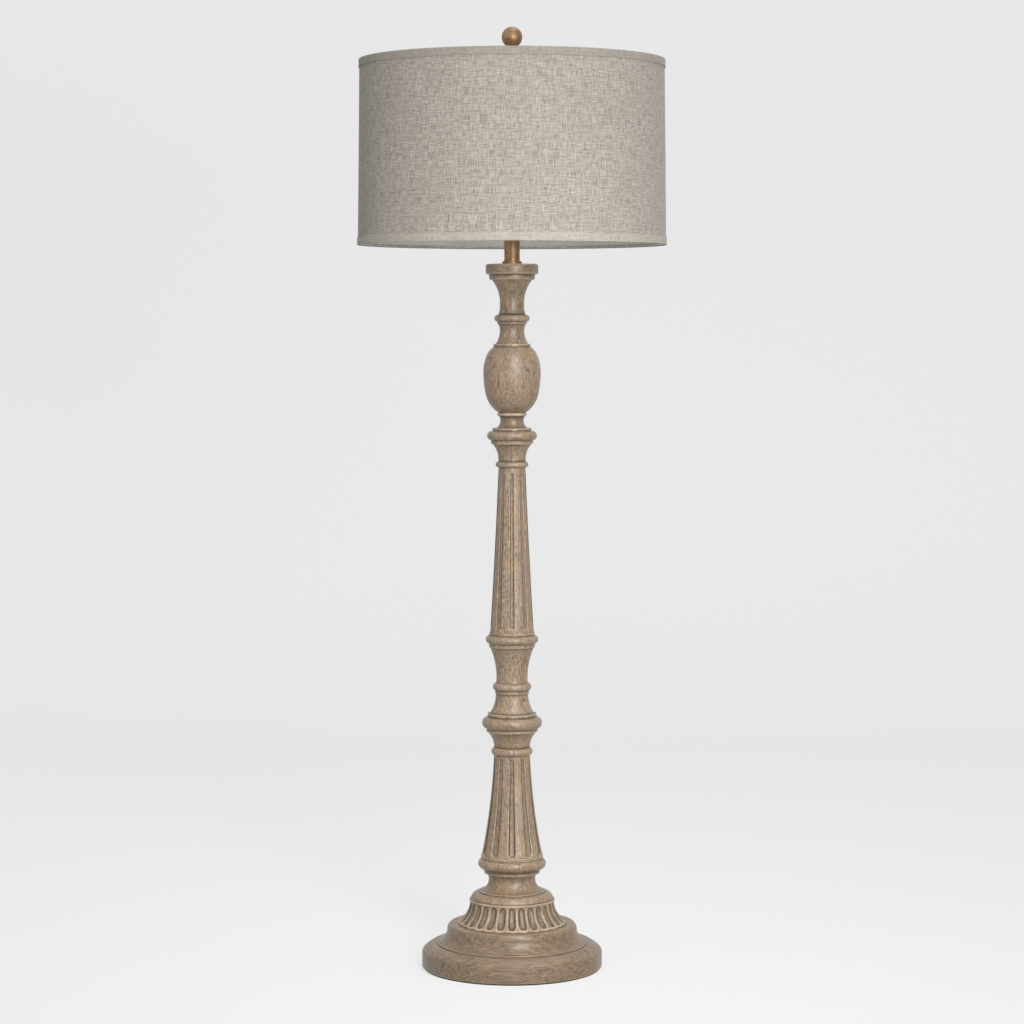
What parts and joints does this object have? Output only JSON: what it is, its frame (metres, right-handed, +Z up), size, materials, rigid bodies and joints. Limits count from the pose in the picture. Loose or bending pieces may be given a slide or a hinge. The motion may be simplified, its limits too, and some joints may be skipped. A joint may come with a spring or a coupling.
{
  "type": "floor lamp",
  "caption": "Candlestick floor lamp with a turned and fluted wooden column on a round base, a harp and a wide linen drum shade held by a ball finial.",
  "frame": {"origin": "middle of the underside of the felt pad, on the floor", "axes": "+Z up along the column; -Y towards the viewer of the picture and the side of the switch; +Y to the back, where the cord leaves"},
  "size_m": [0.5061, 0.5062, 1.5474],
  "materials": {
    "wood": "satin",
    "felt": "matte",
    "iron": "matte",
    "steel": "satin",
    "brass": "satin",
    "black_plastic": "matte",
    "liner": "matte",
    "linen": "matte",
    "glass": "gloss"
  },
  "bodies": {
    "stand": {"felt_pad": "felt", "base_weight": "iron", "base_washer": "steel", "base_nut": "steel", "base_plinth": "wood", "cord_bushing": "black_plastic", "base_riser": "wood", "fluted_cove": "wood", "base_neck": "wood", "foot_collar": "wood", "lower_shaft": "wood", "waist_collar": "wood", "middle_spool": "wood", "upper_shaft": "wood", "urn_collar": "wood", "urn": "wood", "column_neck": "wood", "column_cap": "wood", "check_ring": "brass", "neck_tube": "brass", "harp_saddle": "steel", "harp_post_right": "steel", "harp_post_left": "steel", "lamp_pipe": "steel", "socket_cap": "brass", "socket_shell": "brass", "socket_sleeve": "black_plastic", "socket_body": "black_plastic", "screw_shell": "brass", "centre_contact": "brass"},
    "switch": {"switch_knob": "black_plastic"},
    "bulb": {"bulb_base": "brass", "bulb_glass": "glass"},
    "harp": {"harp_bow": "steel", "harp_stud": "steel"},
    "ferrule_right": {"harp_ferrule_right": "brass"},
    "ferrule_left": {"harp_ferrule_left": "brass"},
    "shade": {"spider_hub": "steel", "spider_arm_1": "steel", "spider_arm_2": "steel", "spider_arm_3": "steel", "shade_top_ring": "steel", "shade_bottom_ring": "steel", "shade_liner": "liner", "linen_cover": "linen", "bottom_hem": "linen", "top_hem": "linen"},
    "finial": {"finial": "brass"}
  },
  "joints": [
    {"name": "switch_turn", "type": "hinge", "parent": "stand", "child": "switch", "pos_m": [0, -0.02, 1.2513], "axis": [0, -1, 0], "continuous": true},
    {"name": "bulb_screw", "type": "hinge", "parent": "stand", "child": "bulb", "pos_m": [0, 0, 1.275], "axis": [0, 0, 1], "continuous": true},
    {"name": "harp_lift", "type": "slide", "parent": "stand", "child": "harp", "axis": [0, 0, 1], "range_m": [0, 0.02]},
    {"name": "ferrule_right_slide", "type": "slide", "parent": "harp", "child": "ferrule_right", "axis": [0, 0, 1], "range_m": [0, 0.018]},
    {"name": "ferrule_left_slide", "type": "slide", "parent": "harp", "child": "ferrule_left", "axis": [0, 0, 1], "range_m": [0, 0.018]},
    {"name": "shade_turn", "type": "hinge", "parent": "harp", "child": "shade", "pos_m": [0, 0, 1.4898], "axis": [0, 0, 1], "continuous": true},
    {"name": "finial_screw", "type": "hinge", "parent": "harp", "child": "finial", "pos_m": [0, 0, 1.5], "axis": [0, 0, 1], "continuous": true}
  ]
}
